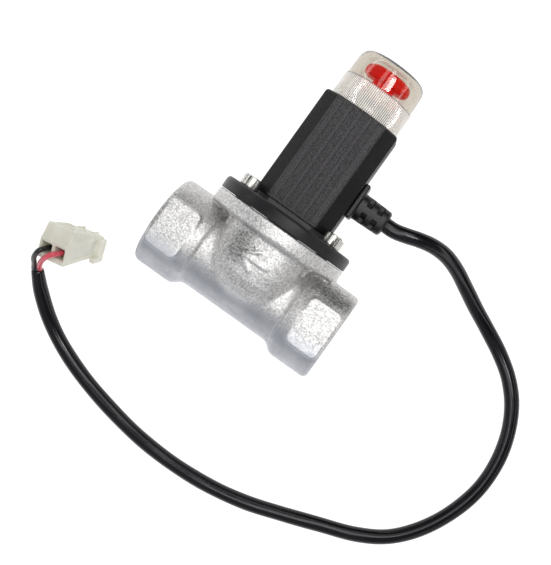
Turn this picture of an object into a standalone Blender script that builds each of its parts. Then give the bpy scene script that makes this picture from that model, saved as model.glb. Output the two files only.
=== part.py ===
"""Manual-reset gas solenoid valve lying on its back, with its lead on the surface beside it.

Lengths are in millimetres until new_object() turns them into metres. Every piece is drawn
in the valve's own frame: X runs along the pipe from inlet to outlet, Y up the solenoid tower
from the pipe axis, and Z away from the surface that the valve lies on.
"""

import math

import bmesh
import bpy
from mathutils import Matrix, Vector

MM = 0.001

# Where the valve lies
FLANGE_R = 27.0
AXIS_HEIGHT = FLANGE_R
PIPE_HALF = 38.0
COLLAR_R = 17.5
CAP_TOP_Y = 94.3
PIPE_AXIS_Y = -(CAP_TOP_Y - COLLAR_R) / 2

# Pipe ends, Rp 3/4
THREAD_R = 12.05
THREAD_DEPTH = 15.0
NECK_R = 14.6
COLLAR_LENGTH = 16.5
PAD_X = (23.6, 36.6)
PAD_HALF_HEIGHT = 9.5

# Chamber and seat
CHAMBER_R = 16.0
CHAMBER_FLOOR_Y = 5.0
SEAT_Y = 7.0
SEAT_INNER_R = 8.8
SEAT_OUTER_R = 10.8
TRAVEL = 5.5

# The bowl's half width, half depth and level, from its bottom up
BOWL = [
    (5.0, 7.0, -9.4), (9.4, 11.6, -8.0), (12.6, 15.0, -5.8), (15.2, 17.6, -3.0),
    (16.9, 19.2, 0.0), (18.0, 20.3, 5.0), (18.4, 20.7, 10.0), (18.5, 20.8, 15.5),
]
BOWL_POWER = 2.6

# Flange, cover and screws
FLANGE_BOTTOM_Y = 16.2
FLANGE_TOP_Y = 21.9
COVER_BOTTOM_Y = 22.1
COVER_TOP_Y = 27.0
SCREW_AT = (17.4, 13.2)
SCREW_SHANK_R = 2.0
SCREW_HOLE_R = 2.2
SCREW_HEAD_R = 3.5
SCREW_HEAD_HEIGHT = 4.2
SOCKET_ACROSS = 3.0

# Solenoid tower
HOUSING_HALF = 15.5
HOUSING_CHAMFER = 5.9
HOUSING_Y = (28.8, 72.5)
RIB_PITCH = 4.05
CHANNEL_WIDTH = 2.5
CHANNEL_DEPTH = 0.5
COIL_BORE_R = 13.6
COIL_TOP_Y = 60.0
CORE_Y = (52.3, 62.3)
PLUNGER_TOP_Y = 52.0
PLUNGER_BOTTOM_Y = 30.0

# Cap and knob
NOSE_R = 11.9
NOSE_TOP_Y = 78.1
RING_R = 14.25
RING_Y = (72.7, 82.5)
KNURL_COUNT = 26
KNURL_DEPTH = 0.25
DOME_R = 13.8
KNOB_Y = (84.3, 91.2)
HUB_R = 4.5

# Lead
RELIEF_Y = 45.0
RELIEF_X = (18.0, 29.7)
FOOT_RISE = 0.9
CABLE_R = 2.9
WIRE_R = 1.0

# The lead's centreline: x, y, and height above the surface
CABLE_ROUTE = [
    (30.1, 45.0, 27.0),
    (33.6, 45.1, 27.0),
    (38.0, 46.2, 26.9),
    (43.0, 47.8, 26.0),
    (48.5, 49.0, 23.9),
    (54.5, 49.0, 20.7),
    (61.0, 47.2, 16.6),
    (68.0, 43.9, 12.1),
    (75.5, 40.2, 8.0),
    (84.0, 36.3, 4.7),
    (93.5, 31.5, 3.1),
    (102.0, 25.6, 3.0),
    (109.0, 17.8, 3.0),
    (114.2, 7.6, 3.0),
    (117.0, -4.0, 3.0),
    (117.0, -16.5, 3.0),
    (113.6, -29.3, 3.0),
    (107.6, -41.0, 3.0),
    (99.3, -50.5, 3.0),
    (88.5, -57.0, 3.0),
    (75.0, -62.0, 3.0),
    (61.0, -67.0, 3.0),
    (47.0, -71.5, 3.0),
    (32.0, -74.4, 3.0),
    (16.0, -75.5, 3.0),
    (0.0, -74.8, 3.0),
    (-16.0, -72.2, 3.0),
    (-31.0, -68.4, 3.2),
    (-44.0, -63.3, 4.1),
    (-54.0, -57.2, 6.4),
    (-62.0, -50.0, 9.8),
    (-67.0, -43.5, 14.0),
]
BLACK_ROUTE = [
    (-68.0, -43.95, 15.0),
    (-68.2, -41.6, 19.0),
    (-68.4, -39.3, 23.9),
    (-67.9, -36.9, 27.0),
    (-67.3, -35.3, 27.9),
    (-66.7, -34.2, 26.6),
    (-66.3, -33.5, 24.5),
    (-65.8, -32.5, 21.9),
    (-65.6, -32.1, 20.9),
]
RED_ROUTE = [
    (-66.05, -42.65, 15.25),
    (-65.95, -40.7, 20.2),
    (-65.0, -38.1, 25.3),
    (-63.6, -35.6, 28.5),
    (-62.3, -33.9, 29.3),
    (-61.5, -33.0, 28.0),
    (-61.1, -32.3, 25.9),
    (-60.6, -31.3, 23.3),
    (-60.4, -30.9, 22.3),
]

# Connector, standing on its nose: the middle of its rear face, and its three directions
PLUG_AT = Vector((-63.95, -33.4, 25.74 - AXIS_HEIGHT))
PLUG_ACROSS = Vector((0.9476, 0.2001, 0.2492))
PLUG_ALONG = Vector((0.1664, 0.3568, -0.9192))
PLUG_SIZE = (11.9, 8.05, 25.0)
# The latch's side outline: distance along the connector, and how far it stands off its top
LATCH = [(0.4, -0.5), (0.4, 0.0), (2.9, 5.3), (17.0, 2.3), (22.6, 0.0), (22.6, -0.5)]
PIN_PITCH = 5.6
PIN_HOLE = 4.2

COLOURS = {
    "cast_aluminium": ((0.62, 0.63, 0.64), 1.0, 0.45),
    "black_paint": ((0.015, 0.015, 0.016), 0.2, 0.4),
    "black_anodised": ((0.03, 0.03, 0.033), 0.4, 0.38),
    "bright_steel": ((0.65, 0.65, 0.66), 1.0, 0.2),
    "dull_steel": ((0.45, 0.45, 0.46), 1.0, 0.4),
    "brass": ((0.62, 0.47, 0.2), 1.0, 0.3),
    "copper_wire": ((0.55, 0.22, 0.1), 0.8, 0.35),
    "bobbin_plastic": ((0.72, 0.7, 0.62), 0.0, 0.5),
    "magnet": ((0.08, 0.08, 0.085), 0.3, 0.5),
    "seal_rubber": ((0.02, 0.02, 0.02), 0.0, 0.7),
    "clear_plastic": ((0.86, 0.87, 0.83), 0.0, 0.08),
    "red_plastic": ((0.75, 0.04, 0.02), 0.0, 0.25),
    "relief_rubber": ((0.018, 0.018, 0.018), 0.0, 0.6),
    "cable_sheath": ((0.012, 0.012, 0.012), 0.0, 0.3),
    "black_insulation": ((0.02, 0.02, 0.02), 0.0, 0.4),
    "red_insulation": ((0.68, 0.08, 0.14), 0.0, 0.4),
    "milky_nylon": ((0.82, 0.82, 0.76), 0.0, 0.35),
}


def clear_scene():
    """Start from an empty scene."""
    for obj in list(bpy.data.objects):
        bpy.data.objects.remove(obj, do_unlink=True)


def material(name):
    """A Principled material in the named colour."""
    found = bpy.data.materials.get(name)
    if found:
        return found
    colour, metallic, roughness = COLOURS[name]
    made = bpy.data.materials.new(name)
    made.use_nodes = True
    shader = made.node_tree.nodes["Principled BSDF"]
    shader.inputs["Base Color"].default_value = (*colour, 1.0)
    shader.inputs["Metallic"].default_value = metallic
    shader.inputs["Roughness"].default_value = roughness
    return made


def new_object(name, bm, slot=None):
    """Turn a bmesh in millimetres into an object whose origin is where the two axes cross."""
    bmesh.ops.scale(bm, vec=(MM, MM, MM), verts=bm.verts)
    bmesh.ops.recalc_face_normals(bm, faces=bm.faces)
    mesh = bpy.data.meshes.new(name)
    bm.to_mesh(mesh)
    bm.free()
    mesh.shade_smooth()
    mesh.set_sharp_from_angle(angle=math.radians(32))
    obj = bpy.data.objects.new(name, mesh)
    obj.location = (0.0, PIPE_AXIS_Y * MM, AXIS_HEIGHT * MM)
    bpy.context.scene.collection.objects.link(obj)
    if slot:
        mesh.materials.append(material(slot))
    return obj


def tool(name, bm):
    """A shape that only adds to or cuts another, and isn't a piece itself."""
    obj = new_object(name, bm)
    obj.hide_render = True
    obj.display_type = "WIRE"
    return obj


def combine(obj, operation, *tools):
    """Add or cut each tool in turn."""
    for other in tools:
        step = obj.modifiers.new(other.name, "BOOLEAN")
        step.operation = operation
        step.solver = "EXACT"
        step.object = other


def about_y(r, along, angle):
    """A point at radius r around the tower's axis."""
    return Vector((r * math.cos(angle), along, r * math.sin(angle)))


def about_x(r, along, angle):
    """A point at radius r around the pipe's axis."""
    return Vector((along, r * math.cos(angle), r * math.sin(angle)))


def loft(bm, sections, closed=False):
    """Skin a run of sections of equal count, capping the two ends unless the run is closed."""
    rings = [[bm.verts.new(p) for p in section] for section in sections]
    count = len(rings[0])
    pairs = list(zip(rings, rings[1:]))
    if closed:
        pairs.append((rings[-1], rings[0]))
    for low, high in pairs:
        for i in range(count):
            j = (i + 1) % count
            bm.faces.new((low[i], low[j], high[j], high[i]))
    if not closed:
        bm.faces.new(rings[0])
        bm.faces.new(list(reversed(rings[-1])))
    return bm


def lathe(profile, steps=48, about=about_y, offset=(0.0, 0.0, 0.0)):
    """Turn a profile of (radius, distance along the axis); one that starts at 0 is solid."""
    bm = bmesh.new()
    solid = profile[0][0] == 0
    turned = profile[1:-1] if solid else profile
    angles = [2 * math.pi * i / steps for i in range(steps)]
    shift = Vector(offset)
    sections = [[about(r, a, t) + shift for t in angles] for r, a in turned]
    return loft(bm, sections, closed=not solid)


def prism(outline, low, high, place):
    """Extrude a flat outline between two levels, with place() turning (a, b, level) to a point."""
    sections = [[place(a, b, level) for a, b in outline] for level in (low, high)]
    return loft(bmesh.new(), sections)


def box(low, high):
    """A plain block between two corners."""
    outline = [(low[0], low[1]), (high[0], low[1]), (high[0], high[1]), (low[0], high[1])]
    return prism(outline, low[2], high[2], lambda a, b, c: Vector((a, b, c)))


def octagon(half, chamfer, channels=False):
    """A square with cut corners, with shallow channels along two of its sides if asked."""
    flat = half - chamfer
    side = [(-flat, half)]
    if channels:
        for middle in (-1.5, -0.5, 0.5, 1.5):
            left = middle * RIB_PITCH - CHANNEL_WIDTH / 2
            right = middle * RIB_PITCH + CHANNEL_WIDTH / 2
            side += [(left, half), (left, half - CHANNEL_DEPTH)]
            side += [(right, half - CHANNEL_DEPTH), (right, half)]
    side.append((flat, half))
    outline = side + [(half, flat), (half, -flat)]
    outline += [(-a, -b) for a, b in side] + [(-half, -flat), (-half, flat)]
    return outline


def up_tower(a, b, level):
    """Place an outline square to the tower."""
    return Vector((a, level, b))


def smooth_points(route, spacing):
    """Points along a smooth curve through the route, about spacing apart."""
    points = [Vector(p) for p in route]
    ends = [2 * points[0] - points[1]] + points + [2 * points[-1] - points[-2]]
    fine = []
    for a, b, c, d in zip(ends, ends[1:], ends[2:], ends[3:]):
        for k in range(24):
            t = k / 24
            curve = 2 * b + (c - a) * t + (2 * a - 5 * b + 4 * c - d) * t * t
            curve += (3 * b - a - 3 * c + d) * t * t * t
            fine.append(curve / 2)
    fine.append(points[-1])
    total = sum((q - p).length for p, q in zip(fine, fine[1:]))
    gaps = max(2, round(total / spacing))
    picked = [fine[0]]
    run = 0.0
    for p, q in zip(fine, fine[1:]):
        run += (q - p).length
        if run >= len(picked) * total / gaps and len(picked) < gaps:
            picked.append(q)
    picked.append(fine[-1])
    return picked


def tube(name, points, radius, slot, resolution=3):
    """A round tube of one radius with flat ends."""
    curve = bpy.data.curves.new(name, "CURVE")
    curve.dimensions = "3D"
    curve.bevel_depth = radius * MM
    curve.bevel_resolution = resolution
    curve.use_fill_caps = True
    spline = curve.splines.new("POLY")
    spline.points.add(len(points) - 1)
    for knot, point in zip(spline.points, points):
        knot.co = (*(point * MM), 1.0)
    obj = bpy.data.objects.new(name, curve)
    obj.location = (0.0, PIPE_AXIS_Y * MM, AXIS_HEIGHT * MM)
    bpy.context.scene.collection.objects.link(obj)
    curve.materials.append(material(slot))
    return obj


def lead(name, route, radius, slot, spacing):
    """A tube along a route whose third number is the height above the surface."""
    lowered = [(x, y, z - AXIS_HEIGHT) for x, y, z in route]
    return tube(name, smooth_points(lowered, spacing), radius, slot)


def screw_holes(name, low, high):
    """Cutters for the four cover screws."""
    profile = [(0, low), (SCREW_HOLE_R, low), (SCREW_HOLE_R, high), (0, high)]
    holes = []
    for number, (sx, sz) in enumerate([(1, 1), (-1, 1), (-1, -1), (1, -1)], 1):
        shift = (sx * SCREW_AT[0], 0.0, sz * SCREW_AT[1])
        holes.append(tool(f"{name}_{number}", lathe(profile, 16, offset=shift)))
    return holes


def bowl_point(side, depth, y, angle):
    """A point on the bowl's squarish outline at one level."""
    c, s = math.cos(angle), math.sin(angle)
    r = (abs(c) ** BOWL_POWER + abs(s) ** BOWL_POWER) ** (-1 / BOWL_POWER)
    return Vector((side * r * c, y, depth * r * s))


def build_valve_body():
    """The cast body: pipe with two collars, bowl, flange, wrench pads, ports and seat."""
    end = PIPE_HALF
    inner = PIPE_HALF - COLLAR_LENGTH
    half = [
        (16.0, end), (17.1, end - 0.5), (COLLAR_R, end - 1.7), (COLLAR_R, inner + 1.2),
        (17.0, inner), (14.9, inner - 2.6), (NECK_R, inner - 4.0),
    ]
    left = [(r, -x) for r, x in half]
    right = [(r, x) for r, x in reversed(half)]
    body = new_object(
        "valve_body",
        lathe([(0, -end)] + left + right + [(0, end)], 36, about_x),
        "cast_aluminium",
    )
    flange = [
        (0, 8.0), (18.3, 8.0), (18.4, 13.2), (20.0, 15.2), (22.5, 16.0),
        (26.3, FLANGE_BOTTOM_Y), (FLANGE_R, FLANGE_BOTTOM_Y + 0.7),
        (FLANGE_R, FLANGE_TOP_Y - 0.4), (FLANGE_R - 0.4, FLANGE_TOP_Y), (0, FLANGE_TOP_Y),
    ]
    bowl = [
        [bowl_point(side, depth, y, math.pi * k / 20) for k in range(40)]
        for side, depth, y in BOWL
    ]
    combine(
        body, "UNION",
        tool("flange", lathe(flange, 48)),
        tool("bowl", loft(bmesh.new(), bowl)),
        tool("web", prism(
            [(-23.0, 11.0), (23.0, 11.0), (20.8, 16.5), (-20.8, 16.5)], -2.2, 2.2,
            lambda a, b, c: Vector((a, b, c)),
        )),
    )
    for side in (-1, 1):
        for face in (-1, 1):
            low, high = (side * x for x in PAD_X)
            outer = [(low, -PAD_HALF_HEIGHT), (high, -PAD_HALF_HEIGHT),
                     (high, PAD_HALF_HEIGHT), (low, PAD_HALF_HEIGHT)]
            middle = (low + high) / 2
            spread = [(middle + (x - middle) * 1.16, y * 1.14) for x, y in outer]
            sections = [
                [Vector((x, y, face * 11.0)) for x, y in spread],
                [Vector((x, y, face * (COLLAR_R - 0.05))) for x, y in outer],
            ]
            combine(body, "UNION", tool(f"pad_{side}_{face}", loft(bmesh.new(), sections)))
    depth = PIPE_HALF - THREAD_DEPTH
    for side in (-1, 1):
        port = [
            (0, side * 40.0), (THREAD_R + 3.4, side * 40.0), (THREAD_R, side * 36.6),
            (THREAD_R, side * depth), (10.0, side * (depth - 1.6)),
            (10.0, side * 19.4), (0, side * 19.4),
        ]
        combine(body, "DIFFERENCE", tool(f"port_{side}", lathe(port, 28, about_x)))
    chamber = [
        (0, -8.0), (SEAT_INNER_R - 2.0, -8.0), (SEAT_INNER_R, -6.0), (SEAT_INNER_R, SEAT_Y),
        (SEAT_OUTER_R, SEAT_Y), (SEAT_OUTER_R, CHAMBER_FLOOR_Y), (CHAMBER_R, CHAMBER_FLOOR_Y),
        (CHAMBER_R, 23.0), (0, 23.0),
    ]
    groove = [(17.0, 20.4), (18.8, 20.4), (18.8, 23.0), (17.0, 23.0)]
    inlet = [(0, -21.0), (7.0, -21.0), (7.0, 0.0), (0, 0.0)]
    outlet = [(0, 12.0), (5.0, 12.0), (5.0, 21.0), (0, 21.0)]
    combine(
        body, "DIFFERENCE",
        tool("chamber", lathe(chamber, 28)),
        tool("inlet_way", lathe(inlet, 16, about_x, (0.0, -3.6, 0.0))),
        tool("outlet_way", lathe(outlet, 16, about_x, (0.0, 7.4, 0.0))),
        tool("seal_groove", lathe(groove, 32)),
        *screw_holes("body_hole", 12.0, 24.0),
    )


def build_flange_parts():
    """The seal, the cover plate, its four screws and the plate under the housing."""
    seal = [(17.15, 20.6), (18.65, 20.6), (18.65, 22.0), (17.15, 22.0)]
    new_object("flange_seal", lathe(seal, 32), "seal_rubber")
    cover = [
        (7.4, COVER_BOTTOM_Y), (26.7, COVER_BOTTOM_Y), (FLANGE_R, COVER_BOTTOM_Y + 0.3),
        (FLANGE_R, COVER_TOP_Y - 1.2), (26.6, COVER_TOP_Y - 0.4), (25.8, COVER_TOP_Y),
        (7.4, COVER_TOP_Y),
    ]
    plate = new_object("cover_plate", lathe(cover, 48), "black_paint")
    combine(plate, "DIFFERENCE", *screw_holes("cover_hole", 20.0, 29.0))
    yoke = new_object(
        "yoke_plate",
        prism(octagon(14.3, 5.2), COVER_TOP_Y + 0.1, HOUSING_Y[0] - 0.1, up_tower),
        "magnet",
    )
    hole = [(0, 26.0), (7.4, 26.0), (7.4, 30.0), (0, 30.0)]
    combine(yoke, "DIFFERENCE", tool("yoke_hole", lathe(hole, 32)))


def hexagon_radius(across, angle):
    """Distance from the middle of a hexagon to its edge."""
    turn = (angle % (math.pi / 3)) - math.pi / 6
    return across / 2 / math.cos(turn)


def build_screws():
    """Four socket-head cap screws."""
    steps = 12
    angles = [2 * math.pi * i / steps for i in range(steps)]
    seat = COVER_TOP_Y + 0.05
    top = seat + SCREW_HEAD_HEIGHT
    turned = [
        (SCREW_SHANK_R - 0.4, 16.6), (SCREW_SHANK_R, 17.1), (SCREW_SHANK_R, seat),
        (SCREW_HEAD_R - 0.1, seat), (SCREW_HEAD_R, seat + 0.1), (SCREW_HEAD_R, top - 0.4),
        (SCREW_HEAD_R - 0.35, top), (2.2, top),
    ]
    for number, (sx, sz) in enumerate([(1, 1), (-1, 1), (-1, -1), (1, -1)], 1):
        shift = Vector((sx * SCREW_AT[0], 0.0, sz * SCREW_AT[1]))
        sections = [[about_y(r, y, t) + shift for t in angles] for r, y in turned]
        for level in (top - 0.35, top - 2.2):
            sections.append([
                about_y(hexagon_radius(SOCKET_ACROSS, t), level, t) + shift for t in angles
            ])
        new_object(f"cover_screw_{number}", loft(bmesh.new(), sections), "bright_steel")


def build_solenoid():
    """The housing and what it holds: the coil, magnet, spacer, guide tube and fixed core."""
    outline = octagon(HOUSING_HALF, HOUSING_CHAMFER, channels=True)
    housing = new_object(
        "solenoid_housing", prism(outline, *HOUSING_Y, up_tower), "black_anodised"
    )
    bore = [
        (0, 20.0), (COIL_BORE_R, 20.0), (COIL_BORE_R, 69.0), (9.0, 69.0), (9.0, 75.0), (0, 75.0),
    ]
    combine(housing, "DIFFERENCE", tool("housing_bore", lathe(bore, 32)))
    top = COIL_TOP_Y
    bobbin = [
        (7.5, 29.2), (13.2, 29.2), (13.2, 30.8), (8.3, 30.8),
        (8.3, top - 1.6), (13.2, top - 1.6), (13.2, top), (7.5, top),
    ]
    new_object("coil_bobbin", lathe(bobbin, 24), "bobbin_plastic")
    winding = [(8.5, 31.0), (11.0, 31.0), (11.0, top - 1.8), (8.5, top - 1.8)]
    new_object("coil_winding", lathe(winding, 24), "copper_wire")
    ring = [(7.5, top + 0.3), (11.5, top + 0.3), (11.5, top + 2.9), (7.5, top + 2.9)]
    new_object("magnet_ring", lathe(ring, 24), "magnet")
    spacer = [(7.5, top + 3.2), (13.2, top + 3.2), (13.2, 68.7), (7.5, 68.7)]
    new_object("coil_spacer", lathe(spacer, 24), "bobbin_plastic")
    guide = [
        (6.15, 20.4), (9.6, 20.4), (9.6, 21.9), (6.9, 21.9), (6.9, top + 2.6),
        (6.15, top + 2.6),
    ]
    new_object("guide_tube", lathe(guide, 24), "brass")
    core = [(2.3, CORE_Y[0]), (5.9, CORE_Y[0]), (5.9, CORE_Y[1]), (2.3, CORE_Y[1])]
    new_object("fixed_core", lathe(core, 24), "dull_steel")


def build_moving_group():
    """Everything that travels with the plunger, drawn with the valve held open."""
    plunger = [
        (0, PLUNGER_BOTTOM_Y), (5.3, PLUNGER_BOTTOM_Y), (5.8, PLUNGER_BOTTOM_Y + 0.5),
        (5.8, PLUNGER_TOP_Y - 0.5), (5.3, PLUNGER_TOP_Y), (2.1, PLUNGER_TOP_Y),
        (2.1, 44.0), (0, 44.0),
    ]
    new_object("plunger", lathe(plunger, 24), "dull_steel")
    rod = [(0, 44.2), (1.9, 44.2), (1.9, 73.8), (0, 73.8)]
    new_object("reset_rod", lathe(rod, 20), "bright_steel")
    stem = [(0, 18.2), (2.5, 18.2), (2.5, 29.8), (0, 29.8)]
    new_object("valve_stem", lathe(stem, 20), "bright_steel")
    disc_low = SEAT_Y + TRAVEL + 0.05
    disc = [(0, disc_low), (11.0, disc_low), (11.0, 15.0), (0, 15.0)]
    new_object("seal_disc", lathe(disc, 32), "seal_rubber")
    holder = [
        (0, 15.2), (11.2, 15.2), (11.2, 13.4), (11.9, 13.4), (11.9, 17.4), (11.3, 18.0),
        (0, 18.0),
    ]
    new_object("disc_holder", lathe(holder, 32), "brass")
    knob = [
        (0, 74.0), (HUB_R, 74.0), (HUB_R, KNOB_Y[0]), (8.0, KNOB_Y[0]), (9.0, 84.7),
        (9.6, 85.8), (9.7, 87.4), (9.2, 89.1), (7.9, 90.3), (5.4, 91.0), (2.0, KNOB_Y[1]),
        (0, KNOB_Y[1]),
    ]
    new_object("reset_knob", lathe(knob, 28), "red_plastic")


def build_spring():
    """The return spring, pressed short between the cover plate and the disc holder."""
    turns = 3.75
    per_turn = 12
    low = 18.1 + 0.4
    high = COVER_BOTTOM_Y - 0.15 - 0.4
    count = round(turns * per_turn)
    points = []
    for i in range(count + 1):
        angle = 2 * math.pi * i / per_turn
        points.append(about_y(10.75, low + (high - low) * i / count, angle))
    tube("return_spring", points, 0.35, "bright_steel", resolution=1)


def build_cap():
    """The threaded nose on the housing, its rod seal, the clear cap and its seal."""
    nose = [
        (4.8, 69.2), (8.8, 69.2), (8.8, 72.65), (11.5, 72.65), (NOSE_R, 73.0),
        (NOSE_R, NOSE_TOP_Y - 0.5), (11.4, NOSE_TOP_Y), (4.8, NOSE_TOP_Y),
        (4.8, 77.0), (6.0, 77.0), (6.0, 75.6), (4.8, 75.6),
    ]
    new_object("cap_nose", lathe(nose, 24), "black_anodised")
    rod_seal = [(4.65, 75.75), (5.85, 75.75), (5.85, 76.85), (4.65, 76.85)]
    new_object("rod_seal", lathe(rod_seal, 24), "seal_rubber")
    outer = [
        (14.0, RING_Y[0]), (RING_R, RING_Y[0] + 0.25), (RING_R, RING_Y[1] - 0.5),
        (DOME_R, RING_Y[1]), (DOME_R, 89.8), (13.4, 91.6), (12.4, 93.0), (10.8, 93.9),
        (8.5, 94.2), (2.0, CAP_TOP_Y),
    ]
    inner = [
        (2.0, 92.6), (8.0, 92.5), (10.2, 92.0), (11.5, 91.0), (12.0, 89.6), (12.1, 83.0),
        (12.3, 82.0), (12.3, 75.0), (13.1, 75.0), (13.1, 73.5), (12.3, 73.5), (12.3, RING_Y[0]),
    ]
    sections = []
    for r, y in outer:
        valley = KNURL_DEPTH if r == RING_R else 0.0
        sections.append([
            about_y(r - valley * (i % 2), y, math.pi * i / KNURL_COUNT)
            for i in range(2 * KNURL_COUNT)
        ])
    cap = new_object("clear_cap", loft(bmesh.new(), sections), "clear_plastic")
    hollow = [(0, 92.6), *inner, (12.3, 70.0), (0, 70.0)]
    combine(cap, "DIFFERENCE", tool("cap_hollow", lathe(hollow, 36)))
    seal = [(12.1, 73.7), (12.9, 73.7), (12.9, 74.8), (12.1, 74.8)]
    new_object("cap_seal", lathe(seal, 32), "seal_rubber")


def rounded_square(half, corner, steps=4):
    """A square outline with rounded corners, anticlockwise from its right side."""
    outline = []
    for quarter in range(4):
        turn = quarter * math.pi / 2
        for k in range(steps):
            angle = turn + math.pi / 2 * k / (steps - 1)
            cx = (half - corner) * (1 if quarter in (0, 3) else -1)
            cy = (half - corner) * (1 if quarter in (0, 1) else -1)
            outline.append((cx + corner * math.cos(angle), cy + corner * math.sin(angle)))
    return outline


def build_strain_relief():
    """The moulded relief on the housing's outlet side, with two flex grooves."""
    def section(x, half, corner, rise=0.0):
        outline = rounded_square(half, corner)
        return [Vector((x, RELIEF_Y + rise + a, b)) for a, b in outline]

    start, end = RELIEF_X
    foot = HOUSING_HALF + 0.1
    runs = [
        (foot, 7.0, 1.2, FOOT_RISE), (start - 0.4, 7.0, 1.2, FOOT_RISE),
        (start, 6.6, 1.2, FOOT_RISE), (start, 5.2, 3.6), (start + 2.2, 5.15, 3.6),
        (start + 2.3, 4.0, 2.6), (start + 4.1, 4.0, 2.6), (start + 4.2, 5.1, 3.6),
        (start + 6.6, 5.05, 3.6), (start + 6.7, 3.9, 2.6), (start + 8.5, 3.9, 2.6),
        (start + 8.6, 5.0, 3.6), (end - 0.6, 4.95, 3.6), (end, 4.4, 3.2),
    ]
    sections = [section(*run) for run in runs]
    relief = new_object("strain_relief", loft(bmesh.new(), sections), "relief_rubber")
    low = start + 1.0
    high = end - 2.0
    reach = 4.9
    half = 1.2
    across = box((low, RELIEF_Y - reach, -half), (high, RELIEF_Y + reach, half))
    upright = box((low, RELIEF_Y - half, -reach), (high, RELIEF_Y + half, reach))
    combine(relief, "UNION", tool("relief_rib_1", across), tool("relief_rib_2", upright))


def build_lead():
    """The lead from the strain relief to the sheath's end, then its two wires."""
    lead("cable", CABLE_ROUTE, CABLE_R, "cable_sheath", 6.5)
    lead("wire_black", BLACK_ROUTE, WIRE_R, "black_insulation", 1.6)
    lead("wire_red", RED_ROUTE, WIRE_R, "red_insulation", 1.6)


def build_connector():
    """The two-way plug housing with its latch, and the two crimped contacts inside."""
    down = PLUG_ALONG.cross(PLUG_ACROSS).normalized()
    across = PLUG_ACROSS.normalized()
    along = across.cross(down).normalized()
    turn = Matrix((across, down, along)).transposed().to_4x4()
    pose = Matrix.Translation(PLUG_AT) @ turn

    def block(low, high):
        bm = box(low, high)
        bmesh.ops.transform(bm, matrix=pose, verts=bm.verts)
        return bm

    width, height, length = PLUG_SIZE
    w, h = width / 2, height / 2
    plug = new_object("connector_housing", block((-w, -h, 0), (w, h, length)), "milky_nylon")
    latch = prism(LATCH, -w + 0.15, w - 0.15, lambda a, b, c: Vector((c, -h - b, a)))
    bmesh.ops.transform(latch, matrix=pose, verts=latch.verts)
    combine(
        plug, "UNION",
        tool("latch", latch),
        tool("hook_arm", block((w - 0.5, -h + 0.6, length - 4.5), (w + 1.8, h + 1.6, length - 0.4))),
        tool("hook_toe", block((w - 0.5, h - 0.4, length - 6.6), (w + 1.8, h + 1.6, length - 3.0))),
    )
    hole = PIN_HOLE / 2
    for side, name in ((-1, "black"), (1, "red")):
        middle = side * PIN_PITCH / 2
        cut = block((middle - hole, -hole, -2.0), (middle + hole, hole, length + 2.0))
        combine(plug, "DIFFERENCE", tool(f"pin_hole_{name}", cut))
        contact = block((middle - 1.5, -1.3, 5.0), (middle + 1.5, 1.3, 19.0))
        new_object(f"contact_{name}", contact, "brass")


clear_scene()
build_valve_body()
build_flange_parts()
build_screws()
build_solenoid()
build_moving_group()
build_spring()
build_cap()
build_strain_relief()
build_lead()
build_connector()
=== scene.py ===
"""The solenoid valve's visual model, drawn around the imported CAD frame.

Pieces are drawn in millimetres in the valve's own frame, as in the CAD: X along the pipe, Y up
the tower from the pipe axis, Z away from the surface. place() takes them to the row frame.
"""

import math
from functools import reduce

import bmesh
import bpy
import numpy as np
from mathutils import Matrix, Vector


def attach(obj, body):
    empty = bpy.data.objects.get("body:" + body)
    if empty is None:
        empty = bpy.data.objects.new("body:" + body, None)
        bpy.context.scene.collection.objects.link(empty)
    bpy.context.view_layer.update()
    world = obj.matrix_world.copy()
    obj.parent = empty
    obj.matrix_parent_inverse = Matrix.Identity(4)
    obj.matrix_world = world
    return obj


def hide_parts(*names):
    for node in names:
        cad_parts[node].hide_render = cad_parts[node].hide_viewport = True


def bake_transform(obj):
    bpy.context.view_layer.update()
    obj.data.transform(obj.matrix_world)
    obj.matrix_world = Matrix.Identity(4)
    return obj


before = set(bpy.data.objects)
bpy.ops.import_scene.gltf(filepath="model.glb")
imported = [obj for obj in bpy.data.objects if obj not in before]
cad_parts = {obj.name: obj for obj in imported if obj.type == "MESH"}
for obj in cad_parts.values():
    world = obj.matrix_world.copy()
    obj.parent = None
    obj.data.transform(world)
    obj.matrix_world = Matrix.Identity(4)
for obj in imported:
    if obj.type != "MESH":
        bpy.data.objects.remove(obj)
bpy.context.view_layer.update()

MM = 0.001
AXIS_HEIGHT = 27.0
ORIGIN = Vector((0.0, -38.4, AXIS_HEIGHT))


def place(point):
    """A point of the valve's own frame, in the row frame's metres."""
    return (Vector(point) + ORIGIN) * MM


def add_object(name, data):
    """Add an object that shows some data to the scene."""
    obj = bpy.data.objects.new(name, data)
    bpy.context.scene.collection.objects.link(obj)
    return obj


# ---------------- camera and lead

CAMERA_AT = (36.5, 22.0, 450.0)
CAMERA_TURN = 35.5
CAMERA_LENS = 78.8
CAMERA_SHIFT = (-0.1568, 0.0088)


def build_camera():
    """Straight down, turned so that the pipe runs down to the right."""
    data = bpy.data.cameras.new("camera")
    data.sensor_width = 36.0
    data.lens = CAMERA_LENS
    data.shift_x, data.shift_y = CAMERA_SHIFT
    data.clip_start = 0.01
    data.clip_end = 50.0
    camera = add_object("camera", data)
    camera.location = place(CAMERA_AT)
    camera.rotation_euler = (0.0, 0.0, math.radians(CAMERA_TURN))
    bpy.context.scene.camera = camera


build_camera()

CABLE_R = 2.9
# where the sheath starts, inside the strain relief
CABLE_ROOT = (28.4, 45.0, 0.0)
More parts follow.
